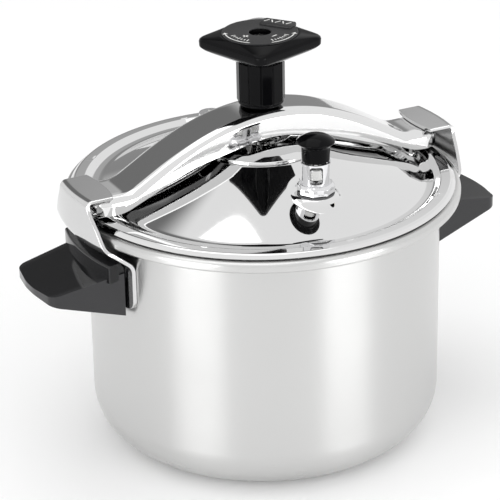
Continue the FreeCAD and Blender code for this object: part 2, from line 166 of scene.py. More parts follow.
def bevel(piece, width, segments=3, angle=35.0):
    modifier = piece.modifiers.new("edges", "BEVEL")
    modifier.width = width * MM
    modifier.segments = segments
    modifier.limit_method = "ANGLE"
    modifier.angle_limit = math.radians(angle)
    modifier.harden_normals = True


def cut(piece, cutter_verts, cutter_faces):
    """Boolean cut, baked into the piece's mesh."""
    mesh = bpy.data.meshes.new("cutter")
    mesh.from_pydata([(x * MM, y * MM, z * MM) for x, y, z in cutter_verts], [], cutter_faces)
    bm = bmesh.new()
    bm.from_mesh(mesh)
    bmesh.ops.remove_doubles(bm, verts=bm.verts, dist=1e-7)
    bmesh.ops.recalc_face_normals(bm, faces=bm.faces)
    bm.to_mesh(mesh)
    bm.free()
    cutter = bpy.data.objects.new("cutter", mesh)
    bpy.context.scene.collection.objects.link(cutter)
    modifier = piece.modifiers.new("cut", "BOOLEAN")
    modifier.operation = "DIFFERENCE"
    modifier.object = cutter
    modifier.solver = "EXACT"
    while piece.modifiers[0] != modifier:
        with bpy.context.temp_override(object=piece, active_object=piece):
            bpy.ops.object.modifier_move_up(modifier=modifier.name)
    others = [m for m in piece.modifiers if m != modifier]
    for m in others:
        m.show_viewport = False
    bpy.context.view_layer.update()
    graph = bpy.context.evaluated_depsgraph_get()
    baked = bpy.data.meshes.new_from_object(piece.evaluated_get(graph))
    piece.modifiers.remove(modifier)
    for m in others:
        m.show_viewport = True
    old = piece.data
    piece.data = baked
    bpy.data.meshes.remove(old)
    bpy.data.objects.remove(cutter)
    bpy.data.meshes.remove(mesh)
    piece.data.shade_smooth()
    piece.data.set_sharp_from_angle(angle=math.radians(35))


def grid_faces(rows, columns, start=0):
    return [(start + i * columns + j, start + i * columns + j + 1,
             start + (i + 1) * columns + j + 1, start + (i + 1) * columns + j)
            for i in range(rows - 1) for j in range(columns - 1)]


def slab_skin(stations, profile, top, wall_low, across=10):
    """Skin over a long plan shape that is the same on both sides of y = 0.

    stations are (x, y, normal x, normal y) along the +y side. profile is (inset, drop) from the flat top
    out to the wall. Returns the verts, the faces and the loop of verts along the wall's foot."""
    verts, faces = [], []
    levels = len(profile)
    half = levels + 1
    for x, y, nx, ny in stations:
        edge = []
        for inset, drop in profile:
            px, py = x - nx * inset, max(y - ny * inset, 0.0)
            edge.append((px, py, top(px) - drop))
        foot = (x, y, wall_low(x))
        near = [foot] + list(reversed(edge))
        far = [(a, -b, c) for a, b, c in reversed(near)]
        middle = [(edge[0][0], edge[0][1] * (1 - 2 * k / across), edge[0][2]) for k in range(1, across)]
        verts += near + middle + far
    columns = 2 * half + across - 1
    faces += grid_faces(len(stations), columns)
    for row in (0, len(stations) - 1):
        base = row * columns
        for k in range(half - 1):
            faces.append((base + k, base + k + 1, base + columns - 2 - k, base + columns - 1 - k))
    rows = range(len(stations))
    loop = [i * columns for i in rows] + [(i + 1) * columns - 1 for i in reversed(rows)]
    return verts, faces, loop


# Materials --------------------------------------------------------------------------------

class Nodes:
    """Short hand for building one material's node tree."""

    def __init__(self, name):
        self.material = bpy.data.materials.new(name)
        self.material.use_nodes = True
        self.tree = self.material.node_tree
        self.shader = self.tree.nodes["Principled BSDF"]
        self.place = self.add("ShaderNodeTexCoord").outputs["Object"]

    def add(self, kind, inputs=None, **settings):
        node = self.tree.nodes.new(kind)
        for key, value in settings.items():
            setattr(node, key, value)
        for key, value in (inputs or {}).items():
            if isinstance(value, bpy.types.NodeSocket):
                self.tree.links.new(value, node.inputs[key])
            else:
                node.inputs[key].default_value = value
        return node

    def noise(self, stretch, scale=1.0, detail=4.0, rough=0.55):
        mapping = self.add("ShaderNodeMapping", {"Vector": self.place, "Scale": stretch})
        return self.add("ShaderNodeTexNoise", {"Vector": mapping.outputs[0], "Scale": scale, "Detail": detail,
                                               "Roughness": rough}).outputs["Fac"]

    def spread(self, value, low, high, start=0.3, end=0.7):
        return self.add("ShaderNodeMapRange", {"Value": value, "From Min": start, "From Max": end,
                                               "To Min": low, "To Max": high}).outputs[0]

    def mix(self, factor, a, b):
        node = self.add("ShaderNodeMix", data_type="RGBA")
        for socket, value in ((node.inputs[0], factor), (node.inputs[6], a), (node.inputs[7], b)):
            if isinstance(value, bpy.types.NodeSocket):
                self.tree.links.new(value, socket)
            else:
                socket.default_value = value
        return node.outputs[2]

    def math(self, operation, a, b):
        node = self.add("ShaderNodeMath", operation=operation)
        for socket, value in zip(node.inputs, (a, b)):
            if isinstance(value, bpy.types.NodeSocket):
                self.tree.links.new(value, socket)
            else:
                socket.default_value = value
        return node.outputs[0]

    def link(self, output, name):
        self.tree.links.new(output, self.shader.inputs[name])

    def bump(self, height, strength, distance, below=None):
        inputs = {"Height": height, "Strength": strength, "Distance": distance}
        if below is not None:
            inputs["Normal"] = below
        return self.add("ShaderNodeBump", inputs).outputs[0]


LEAST_ROUGHNESS = 0.012
QUARTER_TURN = 0.25


def shade(value):
    return (value, value, value, 1.0)


def metal(name, colour, roughness, spread, grain, grain_bump, worn=0.06, anisotropic=0.0):
    """Metal with brushed or spun grain, soft handling marks and slightly brighter worn edges.

    spread is how much the grain varies the roughness, grain its noise scale per metre along each axis,
    grain_bump its depth in mm, and anisotropic stretches reflections across the turning marks."""
    n = Nodes(name)
    n.shader.inputs["Metallic"].default_value = 1.0
    lines = n.noise(grain, detail=4.0, rough=0.6)
    smudges = n.noise((14.0, 14.0, 14.0), detail=2.0)
    edges = n.spread(n.add("ShaderNodeNewGeometry").outputs["Pointiness"], 0.0, 1.0, 0.5, 0.56)
    darker = tuple(c * (1.0 - worn) for c in colour) + (1.0,)
    body = n.mix(n.spread(smudges, 0.0, 1.0), darker, tuple(colour) + (1.0,))
    bright = tuple(min(1.0, c * 1.06) for c in colour) + (1.0,)
    n.link(n.mix(edges, body, bright), "Base Color")
    streaks = n.spread(lines, -spread, spread)
    smears = n.spread(smudges, roughness * 0.93, roughness * 1.07)
    n.link(n.math("MAXIMUM", n.math("ADD", streaks, smears), LEAST_ROUGHNESS), "Roughness")
    if anisotropic:
        n.shader.inputs["Anisotropic"].default_value = anisotropic
        n.shader.inputs["Anisotropic Rotation"].default_value = QUARTER_TURN
        n.tree.links.new(n.add("ShaderNodeTangent", direction_type="RADIAL", axis="Z").outputs[0],
                         n.shader.inputs["Tangent"])
    n.link(n.bump(lines, 0.3, grain_bump * MM), "Normal")
    return n.material


def moulded(name, colour, roughness, gloss, pores):
    """Moulded plastic with flow marks, fine pores and rubbed edges. pores is their depth in mm."""
    n = Nodes(name)
    flow = n.noise((35.0, 35.0, 60.0), detail=5.0)
    fine = n.noise((1600.0, 1600.0, 1600.0), detail=2.0)
    scuffs = n.noise((900.0, 120.0, 300.0), detail=4.0, rough=0.75)
    edges = n.spread(n.add("ShaderNodeNewGeometry").outputs["Pointiness"], 0.0, 0.6, 0.52, 0.62)
    base = n.mix(n.spread(flow, 0.0, 1.0), tuple(c * 0.7 for c in colour) + (1.0,), tuple(colour) + (1.0,))
    rubbed = tuple(min(1.0, c * 2.2 + 0.01) for c in colour) + (1.0,)
    n.link(n.mix(edges, base, rubbed), "Base Color")
    cloudy = n.spread(flow, roughness * 0.8, roughness * 1.2)
    rubs = n.spread(scuffs, 0.0, 0.08, 0.55, 0.75)
    n.link(n.math("ADD", cloudy, rubs), "Roughness")
    n.shader.inputs["Specular IOR Level"].default_value = gloss
    soft = n.bump(flow, 0.2, 0.12 * MM)
    n.link(n.bump(fine, 0.15, pores * MM, soft), "Normal")
    return n.material


def rubber(name, colour):
    n = Nodes(name)
    bloom = n.noise((60.0, 60.0, 60.0), detail=4.0)
    grainy = n.noise((1300.0, 1300.0, 1300.0), detail=3.0)
    n.link(n.mix(n.spread(bloom, 0.0, 1.0), tuple(c * 0.8 for c in colour) + (1.0,),
                 tuple(c * 1.3 for c in colour) + (1.0,)), "Base Color")
    n.link(n.spread(bloom, 0.55, 0.72), "Roughness")
    n.link(n.bump(grainy, 0.3, 0.04 * MM), "Normal")
    return n.material


def printed(name, colour):
    """White print on the dial, worn thin in places."""
    n = Nodes(name)
    wear = n.noise((700.0, 700.0, 700.0), detail=3.0)
    n.link(n.mix(n.spread(wear, 0.0, 1.0, 0.35, 0.5), tuple(c * 0.82 for c in colour) + (1.0,),
                 tuple(colour) + (1.0,)), "Base Color")
    n.link(n.spread(wear, 0.35, 0.5), "Roughness")
    n.link(n.bump(wear, 0.2, 0.02 * MM), "Normal")
    return n.material


def table_top(name):
    n = Nodes(name)
    cloud = n.noise((3.0, 3.0, 3.0), detail=4.0)
    fine = n.noise((160.0, 160.0, 160.0), detail=3.0)
    n.link(n.mix(n.spread(cloud, 0.0, 1.0), shade(0.955), shade(0.97)), "Base Color")
    n.link(n.spread(fine, 0.55, 0.7), "Roughness")
    n.link(n.bump(fine, 0.05, 0.05 * MM), "Normal")
    return n.material


SPUN = (5.0, 5.0, 2200.0)
FINE = (300.0, 300.0, 300.0)
MATERIALS = {
    "pot_steel": metal("pot_steel", (0.62, 0.62, 0.615), 0.30, 0.012, SPUN, 0.0015, 0.012, 0.85),
    "lug_steel": metal("lug_steel", (0.62, 0.62, 0.62), 0.13, 0.02, (40.0, 40.0, 900.0), 0.001, 0.03),
    "lid_steel": metal("lid_steel", (0.72, 0.72, 0.72), 0.03, 0.008, FINE, 0.0004, 0.015),
    "stirrup_steel": metal("stirrup_steel", (0.74, 0.74, 0.74), 0.07, 0.015, (60.0, 900.0, 200.0),
                           0.0008, 0.02),
    "hard_steel": metal("hard_steel", (0.60, 0.60, 0.59), 0.2, 0.05, (900.0, 900.0, 2400.0), 0.006, 0.1),
    "chrome": metal("chrome", (0.74, 0.74, 0.75), 0.05, 0.015, FINE, 0.0006, 0.03),
    "brass": metal("brass", (0.76, 0.58, 0.28), 0.18, 0.05, (300.0, 300.0, 2400.0), 0.004, 0.12),
    "bakelite": moulded("bakelite", (0.006, 0.006, 0.007), 0.09, 0.5, 0.008),
    "dial_plate": moulded("dial_plate", (0.016, 0.016, 0.017), 0.36, 0.3, 0.02),
    "rubber": rubber("rubber", (0.06, 0.06, 0.062)),
    "core_aluminium": metal("core_aluminium", (0.74, 0.75, 0.76), 0.35, 0.06, FINE, 0.008, 0.1),
}
# painted shade: a copy of the handles' bakelite with half the colour and a weaker reflection, used on the
# knob and valve cap
SHADED_KNOB_BAKELITE = moulded("knob_bakelite_painted_shade", (0.003, 0.003, 0.0035), 0.08, 0.08, 0.006)
PRINT = printed("dial_print", (0.82, 0.82, 0.8))

SLOT_OF = {part["node"]: part["material_slot"] for part in frame["record"]["subparts"]}
for node_name, node in nodes.items():
    node.data.materials.clear()
    node.data.materials.append(MATERIALS[SLOT_OF[node_name]])


# Pot --------------------------------------------------------------------------------------

WALL = 1.2
POT_INSIDE = 118.8
LAND = 178.3
RIM = 134.0

turned("pot_wall", sheet_outline(
    [(0, 6.7), (104.6, 6.7, 2.0), (POT_INSIDE, 16.0, 31.0), (POT_INSIDE, LAND, 3.5), (RIM, LAND, 3.0),
     (RIM, 171.5, 1.8), (RIM - 3.2, 171.5)], WALL), "pot", "pot_steel", ["pot_body"], segments=256)
turned("pot_base", rounded([(0, 0), (96.6, 0, 33.4), (104.9, 5.5), (88.0, 5.5), (88.0, 0.8), (0, 0.8)]),
       "pot", "pot_steel", ["base_cap"], segments=256)


# Lugs -------------------------------------------------------------------------------------

LUG_SHEET = 2.5
LUG_LOW = 125.0
LUG_TOP = 200.1
LUG_HALF_WIDTH = 40.0
LUG_CORNER = 6.0
LIP_LOW = 190.0
LIP_FULL_WIDTH = 197.0
LIP_START = 134.0
LIP_INNER = 118.0
LIP_HALF_WIDTH = 21.5
LUG_PATH = [(122.6, LUG_LOW), (122.6, 155.2, 8.0), (140.2, 170.3, 8.0), (140.2, LUG_TOP, 4.5),
            (LIP_INNER, LUG_TOP)]
LUG_SIDE = rounded([(LUG_LOW, 34.0), (LUG_LOW, LUG_HALF_WIDTH, LUG_CORNER), (160.0, LUG_HALF_WIDTH, 60.0),
                    (167.0, 41.0, 14.0), (183.0, 31.0, 30.0), (194.5, LIP_HALF_WIDTH, 12.0),
                    (215.0, LIP_HALF_WIDTH)])
LIP_TURN = 206.5
LIP_ROUND = 90.0


def dense(points, longest):
    """The same polyline with long pieces split up."""
    filled = [points[0]]
    for a, b in zip(points, points[1:]):
        count = max(1, math.ceil(math.dist(a, b) / longest))
        filled += [(a[0] + (b[0] - a[0]) * k / count, a[1] + (b[1] - a[1]) * k / count)
                   for k in range(1, count + 1)]
    return filled


def resample(points, count):
    """count points, evenly spread along a polyline."""
    lengths = [0.0]
    for a, b in zip(points, points[1:]):
        lengths.append(lengths[-1] + math.dist(a, b))
    spread = []
    k = 0
    for i in range(count):
        target = lengths[-1] * i / (count - 1)
        while k < len(points) - 2 and lengths[k + 1] < target:
            k += 1
        share = (target - lengths[k]) / max(lengths[k + 1] - lengths[k], 1e-9)
        a, b = points[k], points[k + 1]
        spread.append((a[0] + (b[0] - a[0]) * share, a[1] + (b[1] - a[1]) * share))
    return spread


def sheet_border(rows, columns):
    """Loop of verts around a grid of rows by columns."""
    last = columns - 1
    border = [i * columns for i in range(rows)]
    border += [(rows - 1) * columns + k for k in range(1, columns)]
    border += [i * columns + last for i in range(rows - 2, -1, -1)]
    return border + list(range(last - 1, 0, -1))


def lug_width(z):
    """Half width of the lug at height z."""
    round_top = LUG_LOW + LUG_CORNER
    if z < round_top:
        return LUG_HALF_WIDTH - LUG_CORNER + math.sqrt(max(0.0, LUG_CORNER ** 2 - (round_top - z) ** 2))
    return LIP_HALF_WIDTH if z > LIP_FULL_WIDTH else height_on(LUG_SIDE, z)


def lug_point(side, r, z, share):
    y = lug_width(z) * share
    if r < LIP_START and z > LIP_LOW:
        tip = math.hypot(LIP_TURN - math.sqrt(LIP_ROUND ** 2 - y * y), y)
        r = LIP_START + (tip - LIP_START) * (LIP_START - r) / (LIP_START - LIP_INNER)
    return (side * math.sqrt(r * r - y * y), y, z)


def lug(side, name, node_name):
    across = 40
    columns = across + 1
    rows = 110
    verts, faces = [], []
    for path in (LUG_PATH, offset(LUG_PATH, -LUG_SHEET)):
        start = len(verts)
        for r, z in resample(rounded(path), rows):
            verts += [lug_point(side, r, z, 2 * k / across - 1) for k in range(columns)]
        faces += grid_faces(rows, columns, start)
    border = sheet_border(rows, columns)
    inner = rows * columns
    for p, q in zip(border, border[1:] + border[:1]):
        faces.append((p, q, inner + q, inner + p))
    base = len(verts)
    low, top, front, back = 188.6, 199.3, 121.0, 131.0
    tab = rounded([(front, top), (back, top), (back, low, 2.5), (front + 2, low, 3.0), (front, top)])[:-1]
    for y in (19.0, LIP_HALF_WIDTH - 0.1):
        verts += [(side * x, y, z) for x, z in tab]
    n = len(tab)
    faces += [tuple(range(base, base + n)), tuple(range(base + n, base + 2 * n))]
    faces += [(base + i, base + (i + 1) % n, base + n + (i + 1) % n, base + n + i) for i in range(n)]
    bevel(make(name, verts, faces, "pot", "lug_steel", [node_name]), 0.6, 3, 50.0)


lug(1, "lug_right_sheet", "lug_right")
lug(-1, "lug_left_sheet", "lug_left")


# Handles ----------------------------------------------------------------------------------

HANDLE_TOP = [(117.0, 151.4), (172.5, 141.1)]
HANDLE_LOW = [(117.0, 119.7), (172.5, 136.6)]
HANDLE_FOOT = 122.8
SHELF_RADIUS = 135.6
SHELF_TOP = 158.6
SHELF_LOW = 146.0
SHELF_TURN = math.radians(15.5)


def handle(side, name, node_name):
    """Black wedge with a rounded upper edge and a bowed tip; the raised rib under the lug comes from
    handle_rib.
    """
    reach, root, tip = 172.4, 34.8, 29.6
    outline = [(114.0, root), (117.0, root), (168.5, tip, 8.0), (reach, 6.0, 40.0), (reach, 0.2)]
    plan = dense(rounded(outline), 2.5)
    wall = [p for p in plan if p[0] > 118.0]
    tip_x = [p for p in wall if p[1] < 0.5][-1][0]
    across = 24
    columns = across + 1
    verts, faces = [], []
    for height in (HANDLE_TOP, HANDLE_LOW):
        for x, y in wall:
            for k in range(columns):
                v = y * (1 - 2 * k / across)
                u = max(x, math.sqrt(HANDLE_FOOT ** 2 - v * v)) if x < 126.0 else x
                verts.append((side * min(u, tip_x), v, height_on(height, u)))
    rows = len(wall)
    low = rows * columns
    faces += grid_faces(rows, columns) + grid_faces(rows, columns, low)
    border = sheet_border(rows, columns)
    for p, q in zip(border, border[1:] + border[:1]):
        faces.append((p, q, low + q, low + p))
    piece = make(name, verts, faces, "pot", "bakelite", [node_name], sharp=30.0)
    bevel(piece, 2.6, 6, 55.0)


def handle_rib(side, name):
    """Rib that cradles the lug where it kicks out over the rim."""
    shadow = [p for p in rounded(offset(LUG_PATH[:3], 0.25)) if 148.0 < p[1] < SHELF_TOP]
    outer = [(shadow[-1][0] + 0.1, SHELF_TOP), (SHELF_RADIUS, SHELF_TOP, 1.4), (SHELF_RADIUS, SHELF_LOW)]
    section = [(HANDLE_FOOT, SHELF_LOW)] + shadow + rounded(outer)
    steps = 40
    verts, faces = [], []
    for i in range(steps + 1):
        turn = SHELF_TURN * (2 * i / steps - 1)
        verts += [(side * r * math.cos(turn), r * math.sin(turn), z) for r, z in section]
    n = len(section)
    for i in range(steps):
        for k in range(n):
            a, b = i * n, (i + 1) * n
            faces.append((a + k, a + (k + 1) % n, b + (k + 1) % n, b + k))
    faces += [tuple(range(n)), tuple(range(steps * n, steps * n + n))]
    bevel(make(name, verts, faces, "pot", "bakelite"), 0.7, 3, 40.0)


for side, word in ((1, "right"), (-1, "left")):
    handle(side, "handle_grip_" + word, "handle_" + word)
    handle_rib(side, "handle_rib_" + word)


# Lid --------------------------------------------------------------------------------------

LID_CROWN = 205.6
SHOULDER = (46.1, 203.4)
FLANK_SLOPE = 0.3675
LID_PATH = [(0, LID_CROWN), (40.9, LID_CROWN, 4), SHOULDER + (150,), (109.4, 180.1, 12), (116.2, 180.1, 4.0),
            (120.2, 182.6, 2.2), (127.5, 182.6, 2.5), (130.2, 179.9)]
LID_SHEET = 1.5
LID_SEGMENTS = 480
VALVE_HOLE = 6.6
HOLE_FROM, HOLE_TO = 185.0, 205.0
VALVE = (3.2, -70.0)
SAFETY = (-3.2, 70.0)
SEAT = 195.3
SEAT_FLAT = 12.6
SEAT_EDGE = 18.0
DIMPLES = ((-0.4, -54.8), (7.0, -84.6))
PINCHES = 8
PINCH_RADIUS = 121.4
PINCH_HEIGHT = 183.15
PINCH = [(0, -2.6), (0.8, -2.6), (1.15, -1.4), (1.15, 1.4), (0.8, 2.6), (0, 2.6)]


def seat_share(x, y):
    """How far a point of the lid belongs to one of the two pressed flat seats."""
    near = min(math.dist((x, y), VALVE), math.dist((x, y), SAFETY))
    share = min(1.0, max(0.0, (SEAT_EDGE - near) / (SEAT_EDGE - SEAT_FLAT)))
    return share * share * (3 - 2 * share)


def lid():
    """Conical lid with two flat seats, their holes, two dimples and pinches around the rim."""
    top = rounded(LID_PATH, math.radians(3))
    under = list(reversed(rounded(offset(LID_PATH, LID_SHEET), math.radians(3))))
    fine = []
    for skin in (top, under):
        for a, b in zip(skin, skin[1:]):
            step = 1.0 if 50.0 < (a[0] + b[0]) / 2 < 90.0 else 6.0
            fine += dense([a, b], step)[:-1]
        fine.append(skin[-1])
    verts, faces = lathe(fine, segments=LID_SEGMENTS)
    half = max(i for i, p in enumerate(fine) if p == top[-1])
    moved = []
    for index, (x, y, z) in enumerate(verts):
        goal = SEAT if index // LID_SEGMENTS <= half else SEAT - LID_SHEET
        share = seat_share(x, y)
        moved.append((x, y, z + (goal - z) * share))
    piece = make("lid_dome", moved, faces, "lid", "lid_steel", ["lid_shell"])
    cut_verts, cut_faces = [], []

    def add(points, more):
        start = len(cut_verts)
        cut_verts.extend(points)
        cut_faces.extend(tuple(start + i for i in face) for face in more)

    for spot in (VALVE, SAFETY):
        add(*lathe([(0, HOLE_FROM), (VALVE_HOLE, HOLE_FROM), (VALVE_HOLE, HOLE_TO), (0, HOLE_TO)], spot, 48))
    for x, y in DIMPLES:
        z = SHOULDER[1] - (math.hypot(x, y) - SHOULDER[0]) * FLANK_SLOPE
        add(*lathe([(0, z - 1.1), (0.9, z - 1.1), (2.0, z + 3.0), (0, z + 3.0)], (x, y), 24))
    for i in range(PINCHES):
        turn = math.radians(360.0 / PINCHES * i)
        points, more = lathe(PINCH, segments=20)
        c, s = math.cos(turn), math.sin(turn)
        add([((PINCH_RADIUS + x) * c - z * s, (PINCH_RADIUS + x) * s + z * c, PINCH_HEIGHT + y)
             for x, y, z in points], more)
    cut(piece, cut_verts, cut_faces)
    weigh(piece)


lid()
turned("thrust_disc_shell", sheet_outline(
    [(6.6, 213.0), (12.0, 213.0, 2.0), (14.0, 212.2, 2.0), (19.0, 212.2, 8.0), (33, 209.6, 12),
     (39.5, 207.7, 1.5), (39.5, 205.8)], 1.2), "lid", "lid_steel", ["thrust_disc"], segments=192)


# Steam valve ------------------------------------------------------------------------------

def faceted(name, levels, sides, body, slot, stands_for, centre=(0.0, 0.0), turn=0.0, groove=0.0, bore=0.0,
            edge=0.3):
    """A many-sided column. levels are (z, radius, roundness); groove is how deep its corners are nicked."""
    per_side = 12
    count = sides * per_side
    verts, faces = [], []
    for z, radius, roundness in levels:
        for i in range(count):
            angle = 2 * math.pi * i / count
            local = (angle + math.pi / sides) % (2 * math.pi / sides) - math.pi / sides
            flat_r = radius * math.cos(math.pi / sides) / math.cos(local)
            r = flat_r + (radius * (1 + math.cos(math.pi / sides)) / 2 - flat_r) * roundness
            if groove and not roundness and i % per_side == per_side // 2:
                r -= groove
            verts.append((centre[0] + r * math.cos(angle + turn), centre[1] + r * math.sin(angle + turn), z))
    if bore:
        for z in (levels[-1][0], levels[0][0]):
            verts += [(centre[0] + bore * math.cos(2 * math.pi * i / count + turn),
                       centre[1] + bore * math.sin(2 * math.pi * i / count + turn), z) for i in range(count)]
    rings = len(levels) + (2 if bore else 0)
    for k in range(rings if bore else rings - 1):
        for i in range(count):
            j = (i + 1) % count
            a, b = k * count, ((k + 1) % rings) * count
            faces.append((a + i, a + j, b + j, b + i))
    if not bore:
        faces += [tuple(range(count)), tuple(range((rings - 1) * count, rings * count))]
    piece = make(name, verts, faces, body, slot, stands_for, sharp=20.0)
    bevel(piece, edge, 3, 18.0)
    return piece


faceted("valve_nut_body",
        [(196.4, 12.2, 0.0), (196.9, 12.6, 0.0), (200.9, 12.6, 0.0), (202.2, 12.0, 0.6), (203.0, 11.2, 1.0)],
        8, "lid", "chrome", ["valve_base"], VALVE, math.radians(22.5 + 9.0), bore=1.6)
turned("valve_cap_moulding", rounded(
    [(0, 228.4), (3.55, 228.4), (3.55, 218.0), (8.2, 218.0), (9.1, 218.6, 0.8), (9.4, 228.3, 2.5),
     (13.1, 231.6, 1.0), (6.5, 236.7, 17.5), (0, 236.7)]),
    "valve_cap", "bakelite", ["valve_cap"], VALVE, 96)


# Screw knob -------------------------------------------------------------------------------

KNOB_TURN = math.radians(18.5)
HEAD_TOP = 284.3
SCREW_HOLE = 7.4
SCREW_SEAT = 277.4
HEAD_LEVELS = [(266.0, 31.6, 14.0), (267.2, 34.6, 14.0), (268.8, 39.6, 12.5), (270.6, 46.0, 10.5),
               (272.4, 52.2, 8.5), (274.2, 57.4, 7.0), (275.6, 59.8, 6.2), (276.4, 60.4, 6.0),
               (279.6, 60.6, 6.0), (280.8, 60.1, 6.2), (281.6, 58.8, 7.2), (282.3, 56.6, 10.0),
               (283.2, 54.0, 17.0), (284.0, 52.2, 23.0), (HEAD_TOP, 51.4, 25.0)]


def stacked(levels, count):
    """Faces of a closed column of rings with count verts each."""
    faces = []
    for k in range(levels - 1):
        low, high = k * count, (k + 1) * count
        faces += [(low + i, low + (i + 1) % count, high + (i + 1) % count, high + i) for i in range(count)]
    return faces + [tuple(range(count)), tuple(range((levels - 1) * count, levels * count))]


def rounded_square(side_length, corner, z, steps=10):
    half = side_length / 2 - corner
    ring = []
    for quarter in range(4):
        middle = math.pi / 2 * quarter + math.pi / 4
        cx = half * math.sqrt(2) * math.cos(middle)
        cy = half * math.sqrt(2) * math.sin(middle)
        for k in range(steps + 1):
            angle = middle - math.pi / 4 + math.pi / 2 * k / steps
            ring.append((cx + corner * math.cos(angle), cy + corner * math.sin(angle), z))
    return ring


def knob_head():
    """Square bakelite head: flared throat, upright band and a low crown around the dial."""
    verts = []
    for z, side_length, corner in HEAD_LEVELS:
        verts += rounded_square(side_length, corner, z)
    levels = len(HEAD_LEVELS)
    c, s = math.cos(KNOB_TURN), math.sin(KNOB_TURN)
    verts = [(x * c - y * s, x * s + y * c, z) for x, y, z in verts]
    faces = stacked(levels, len(verts) // levels)
    piece = make("knob_head_moulding", verts, faces, "knob", "bakelite", ["knob_head"], sharp=50.0)
    hole = [(0, 260.0), (5.6, 260.0), (5.6, SCREW_SEAT), (SCREW_HOLE, SCREW_SEAT), (SCREW_HOLE, 290.0),
            (0, 290.0)]
    cut(piece, *lathe(hole, segments=64))
    piece.data.set_sharp_from_angle(angle=math.radians(50))
    weigh(piece)


knob_head()
faceted("knob_stem_moulding",
        [(235.3, 13.4, 1.0), (235.5, 14.4, 1.0), (236.3, 15.4, 1.0), (237.2, 15.7, 1.0),
         (237.8, 15.2, 1.0), (238.2, 15.9, 0.3), (238.8, 16.3, 0.0), (265.9, 16.4, 0.0)],
        12, "knob", "bakelite", ["knob_stem"], turn=KNOB_TURN, groove=0.9, bore=6.1, edge=0.35)

TAB_TURN = math.radians(37.0)
TAB_TOP = 286.85
TAB_ROUND = 1.8
DIAL_RADIUS = 25.3
DIAL_TOP = 285.2
PRINT_OVER_DIAL = 0.06
PRINT_OVER_TAB = 0.04
PRINT_DEPTH = 0.12


def knob_dial():
    """Round plate on the knob, and the raised tab across it."""
    disc = rounded([(SCREW_HOLE, HEAD_TOP), (DIAL_RADIUS, HEAD_TOP), (DIAL_RADIUS, DIAL_TOP, 0.5),
                    (8.2, DIAL_TOP), (SCREW_HOLE, 284.8)])
    turned("knob_dial_disc", disc + [(SCREW_HOLE, HEAD_TOP)], "knob", "dial_plate", ["knob_dial"],
           segments=128)
    near, far, low, high = 12.6, 23.2, -16.3, 7.1
    corners = ((far - TAB_ROUND, high - TAB_ROUND, 0), (near + TAB_ROUND, high - TAB_ROUND, 90),
               (near + TAB_ROUND, low + TAB_ROUND, 180), (far - TAB_ROUND, low + TAB_ROUND, 270))
    levels = [(DIAL_TOP - 0.9, 0.0), (286.1, 0.0), (286.6, 0.3), (TAB_TOP, 0.9)]
    verts = []
    c, s = math.cos(TAB_TURN), math.sin(TAB_TURN)
    for z, inset in levels:
        ring = []
        for cx, cy, start in corners:
            for k in range(6):
                angle = math.radians(start + 18 * k)
                ring.append((cx + (TAB_ROUND - inset) * math.cos(angle),
                             cy + (TAB_ROUND - inset) * math.sin(angle)))
        verts += [(x * c - y * s, x * s + y * c, z) for x, y in ring]
    make("knob_dial_tab", verts, stacked(len(levels), len(verts) // len(levels)), "knob", "dial_plate")


def dial_marks():
    """Raised white print: two turning arrows, a scale of strokes and a plus and minus sign."""
    verts, faces = [], []
    z = DIAL_TOP + PRINT_OVER_DIAL

    def patch(points, height=z):
        start = len(verts)
        verts.extend((x, y, height) for x, y in points)
        verts.extend((x, y, height - PRINT_DEPTH) for x, y in points)
        n = len(points)
        faces.append(tuple(range(start, start + n)))
        faces.append(tuple(range(start + n, start + 2 * n)))
        faces.extend((start + i, start + (i + 1) % n, start + n + (i + 1) % n, start + n + i)
                     for i in range(n))

    def stroke(x, y, length, width, turn, height=z):
        c, s = math.cos(turn), math.sin(turn)
        a, b = length / 2, width / 2
        corners = ((-a, -b), (a, -b), (a, b), (-a, b))
        patch([(x + u * c - v * s, y + u * s + v * c) for u, v in corners], height)

    def arc(radius, start, end, width):
        steps = 18
        turns = [math.radians(start + (end - start) * k / steps) for k in range(steps + 1)]
        for a, b in zip(turns, turns[1:]):
            patch([((radius + w) * math.cos(t), (radius + w) * math.sin(t))
                   for t, w in ((a, -width / 2), (a, width / 2), (b, width / 2), (b, -width / 2))])

    def arrow(radius, at, way, size):
        t = math.radians(at)
        cx, cy = radius * math.cos(t), radius * math.sin(t)
        along = (-math.sin(t) * way, math.cos(t) * way)
        across = (math.cos(t), math.sin(t))
        patch([(cx + along[0] * size, cy + along[1] * size),
               (cx + across[0] * size * 0.7, cy + across[1] * size * 0.7),
               (cx - across[0] * size * 0.7, cy - across[1] * size * 0.7)])

    arrow_radius, scale_radius, sign_radius = 23.2, 19.0, 13.0
    arc(arrow_radius, 165.0, 226.0, 0.8)
    arrow(arrow_radius, 164.0, -1, 2.6)
    arc(arrow_radius, 262.0, 318.0, 0.8)
    arrow(arrow_radius, 319.0, 1, 2.6)
    for k in range(7):
        for first in (176.0, 268.0):
            t = math.radians(first + 7.0 * k)
            long_or_short = 3.2 if k % 3 == 0 else 2.0
            stroke(scale_radius * math.cos(t), scale_radius * math.sin(t), long_or_short, 0.7, t)
    for at, plus in ((197.0, True), (290.0, False)):
        t = math.radians(at)
        x, y = sign_radius * math.cos(t), sign_radius * math.sin(t)
        stroke(x, y, 4.4, 0.9, t + math.pi / 2)
        if plus:
            stroke(x, y, 4.4, 0.9, t)
    tab_z = TAB_TOP + PRINT_OVER_TAB
    c, s = math.cos(TAB_TURN), math.sin(TAB_TURN)
    for k in range(5):
        x, y = 17.9, -12.6 + 4.0 * k
        stroke(x * c - y * s, x * s + y * c, 4.6, 0.8, TAB_TURN + (0.5 if k % 2 else -0.5), tab_z)
    piece = make("knob_dial_print", verts, faces, "knob", "dial_plate")
    piece.data.materials.clear()
    piece.data.materials.append(PRINT)


knob_dial()
dial_marks()


# Stirrup ----------------------------------------------------------------------------------

